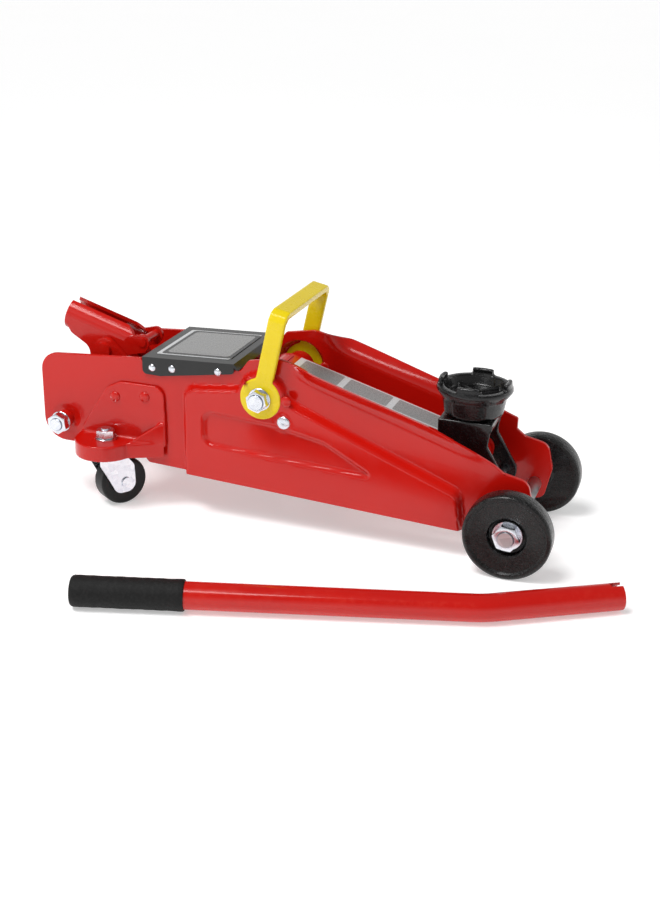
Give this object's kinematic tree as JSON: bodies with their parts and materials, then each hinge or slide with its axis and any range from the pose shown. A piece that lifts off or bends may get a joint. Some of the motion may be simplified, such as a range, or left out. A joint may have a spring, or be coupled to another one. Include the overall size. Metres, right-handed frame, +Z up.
{
  "type": "hydraulic trolley jack",
  "caption": "Compact hydraulic trolley jack: lift arm with levelled saddle, steel wheels, swivel casters, carry handle and a loose pump handle.",
  "frame": {"origin": "on the floor, under the middle of the box around the jack and its loose handle", "axes": "+X towards the saddle end, +Y to the jack's left, +Z up"},
  "size_m": [0.5114, 0.3278, 0.1879],
  "materials": {
    "red_paint": "gloss powder coat on pressed steel",
    "red_casting": "painted rough casting",
    "zinc": "bright zinc plating",
    "machined_steel": "ground and oiled",
    "black_gloss": "gloss black paint",
    "black_wheel": "black semi-gloss, mottled casting",
    "black_nylon": "moulded nylon",
    "yellow_paint": "gloss yellow powder coat",
    "label": "printed film, plain pattern",
    "black_rubber": "moulded foam rubber"
  },
  "bodies": {
    "frame": {"side_plate_right": "red_paint", "side_plate_left": "red_paint", "front_axle": "zinc", "axle_spacers": "zinc", "hub_nuts": "zinc", "rear_tie_rod": "zinc", "tie_rod_collars": "red_paint", "tie_rod_nuts": "zinc", "arm_pivot_shaft": "zinc", "pivot_nuts": "zinc", "link_studs": "zinc", "plate_rivets": "red_paint", "caster_bracket_right": "red_paint", "caster_bracket_left": "red_paint", "caster_king_bolts": "zinc", "caster_king_nuts": "zinc", "power_unit_block": "red_casting", "power_unit_bolts": "red_paint", "ram_cylinder": "machined_steel", "reservoir_shell": "red_casting", "cylinder_gland": "machined_steel", "ram_return_spring": "machined_steel", "pump_barrel": "machined_steel", "pump_gland_nut": "zinc", "filler_plug": "black_rubber", "socket_pivot_bolts": "red_paint", "top_cover": "black_gloss", "cover_label": "label", "cover_screws": "zinc"},
    "lift_arm": {"lift_arm": "red_paint", "push_pin": "zinc", "arm_label": "label"},
    "saddle_bracket": {"saddle_bracket": "black_gloss", "head_pin": "zinc", "foot_pin": "zinc"},
    "saddle": {"saddle": "black_gloss", "saddle_ring": "zinc"},
    "level_links": {"level_link_right": "red_paint", "level_link_left": "red_paint"},
    "ram": {"ram": "machined_steel", "piston_seal": "black_rubber"},
    "handle_socket": {"socket_yoke": "red_paint", "socket_cross_pin": "red_paint", "pump_drive_pin": "zinc"},
    "pump_plunger": {"pump_plunger": "machined_steel"},
    "release_valve": {"release_valve": "zinc"},
    "carry_handle": {"carry_handle": "yellow_paint"},
    "front_wheel_right": {"front_wheel_right": "black_wheel"},
    "front_wheel_left": {"front_wheel_left": "black_wheel"},
    "caster_fork_right": {"caster_fork_right": "zinc", "caster_axle_right": "zinc"},
    "caster_wheel_right": {"caster_wheel_right": "black_nylon"},
    "caster_fork_left": {"caster_fork_left": "zinc", "caster_axle_left": "zinc"},
    "caster_wheel_left": {"caster_wheel_left": "black_nylon"},
    "loose_handle": {"handle_tube": "red_paint", "handle_grip": "black_rubber"}
  },
  "joints": [
    {"name": "lift_arm_raise", "type": "hinge", "parent": "frame", "child": "lift_arm", "pos_m": [-0.05124, 0.07618, 0.113], "axis": [0, -1, 0], "range_deg": [0, 70]},
    {"name": "bracket_level", "type": "hinge", "parent": "lift_arm", "child": "saddle_bracket", "pos_m": [0.11626, 0.07618, 0.07093], "axis": [0, -1, 0], "range_deg": [-70.5, 0.5]},
    {"name": "level_link_swing", "type": "hinge", "parent": "frame", "child": "level_links", "pos_m": [-0.03124, 0.07618, 0.095], "axis": [0, -1, 0], "range_deg": [-0.5, 70.5]},
    {"name": "ram_stroke", "type": "slide", "parent": "frame", "child": "ram", "axis": [1, 0, 0], "range_m": [-0.0002, 0.0439]},
    {"name": "saddle_swivel", "type": "hinge", "parent": "saddle_bracket", "child": "saddle", "pos_m": [0.11226, 0.07618, 0.105], "axis": [0, 0, 1], "continuous": true},
    {"name": "handle_socket_pump", "type": "hinge", "parent": "frame", "child": "handle_socket", "pos_m": [-0.20774, 0.07618, 0.126], "axis": [0, 1, 0], "range_deg": [0, 35]},
    {"name": "plunger_stroke", "type": "slide", "parent": "frame", "child": "pump_plunger", "axis": [-1, 0, 0], "range_m": [-0.0001, 0.0182]},
    {"name": "release_valve_turn", "type": "hinge", "parent": "frame", "child": "release_valve", "pos_m": [-0.20074, 0.07618, 0.076], "axis": [-1, 0, 0], "range_deg": [0, 360]},
    {"name": "carry_handle_swing", "type": "hinge", "parent": "frame", "child": "carry_handle", "pos_m": [-0.05124, 0.07618, 0.113], "axis": [0, -1, 0], "range_deg": [-2, 74]},
    {"name": "front_wheel_right_spin", "type": "hinge", "parent": "frame", "child": "front_wheel_right", "pos_m": [0.15926, 0.00918, 0.035], "axis": [0, 1, 0], "continuous": true},
    {"name": "front_wheel_left_spin", "type": "hinge", "parent": "frame", "child": "front_wheel_left", "pos_m": [0.15926, 0.14318, 0.035], "axis": [0, 1, 0], "continuous": true},
    {"name": "caster_right_swivel", "type": "hinge", "parent": "frame", "child": "caster_fork_right", "pos_m": [-0.19024, 0.01918, 0.05], "axis": [0, 0, 1], "continuous": true},
    {"name": "caster_right_spin", "type": "hinge", "parent": "caster_fork_right", "child": "caster_wheel_right", "pos_m": [-0.18336, 0.02901, 0.021], "axis": [-0.8192, 0.5736, 0], "continuous": true},
    {"name": "caster_left_swivel", "type": "hinge", "parent": "frame", "child": "caster_fork_left", "pos_m": [-0.19024, 0.13318, 0.05], "axis": [0, 0, 1], "continuous": true},
    {"name": "caster_left_spin", "type": "hinge", "parent": "caster_fork_left", "child": "caster_wheel_left", "pos_m": [-0.18336, 0.14301, 0.021], "axis": [-0.8192, 0.5736, 0], "continuous": true},
    {"name": "handle_lift_off", "type": "slide", "parent": "frame", "child": "loose_handle", "axis": [0, 0, 1], "range_m": [0, 0.12]}
  ],
  "couplings": [
    {"joint": "bracket_level", "follows": "lift_arm_raise", "ratio": -1},
    {"joint": "level_link_swing", "follows": "lift_arm_raise", "ratio": 1},
    {"joint": "ram_stroke", "follows": "lift_arm_raise", "m_per_rad": 0.03568},
    {"joint": "plunger_stroke", "follows": "handle_socket_pump", "m_per_rad": 0.029536}
  ]
}
